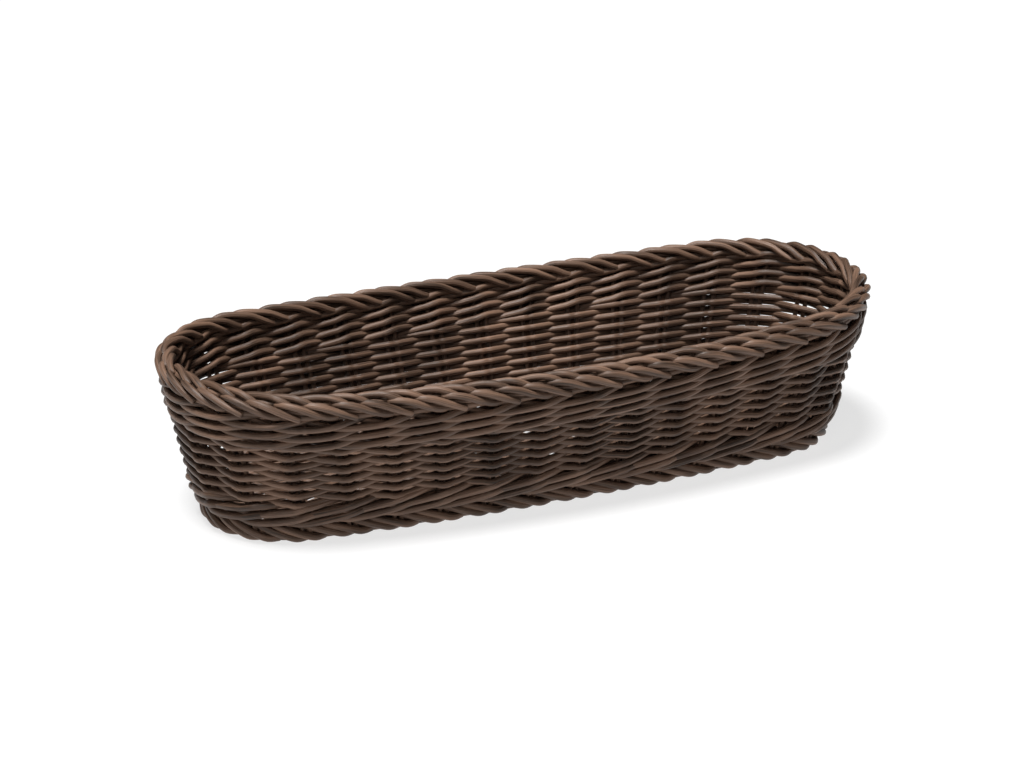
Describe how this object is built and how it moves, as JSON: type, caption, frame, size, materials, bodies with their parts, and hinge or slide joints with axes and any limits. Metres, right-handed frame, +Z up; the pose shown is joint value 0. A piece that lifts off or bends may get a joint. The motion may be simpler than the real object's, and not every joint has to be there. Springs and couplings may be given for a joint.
{
  "type": "bread basket",
  "caption": "Long oval woven bread basket in dark brown plastic cane, with a rope-like rolled rim, a waled side and a rolled foot.",
  "frame": {"origin": "on the resting plane, under the middle of the basket", "axes": "+X along the basket's length, +Y across its width, +Z up; the rods of the side travel round it counter-clockwise seen from above"},
  "size_m": [0.3988, 0.1658, 0.0907],
  "materials": {
    "stake_cane": "satin",
    "weaver_cane": "satin"
  },
  "bodies": {
    "root": {"base_cross_sticks": "stake_cane", "base_long_sticks": "stake_cane", "foot_core": "stake_cane", "side_stakes": "stake_cane", "base_weavers": "weaver_cane", "foot_border_rods": "weaver_cane", "lower_wale_1": "weaver_cane", "lower_wale_2": "weaver_cane", "weave_row_01": "weaver_cane", "weave_row_02": "weaver_cane", "weave_row_03": "weaver_cane", "weave_row_04": "weaver_cane", "weave_row_05": "weaver_cane", "weave_row_06": "weaver_cane", "weave_row_07": "weaver_cane", "weave_row_08": "weaver_cane", "weave_row_09": "weaver_cane", "weave_row_10": "weaver_cane", "weave_row_11": "weaver_cane", "weave_row_12": "weaver_cane", "weave_row_13": "weaver_cane", "upper_wale_1": "weaver_cane", "upper_wale_2": "weaver_cane", "upper_wale_3": "weaver_cane", "rim_crest_rods": "weaver_cane", "rim_outer_rods": "weaver_cane"}
  },
  "joints": []
}
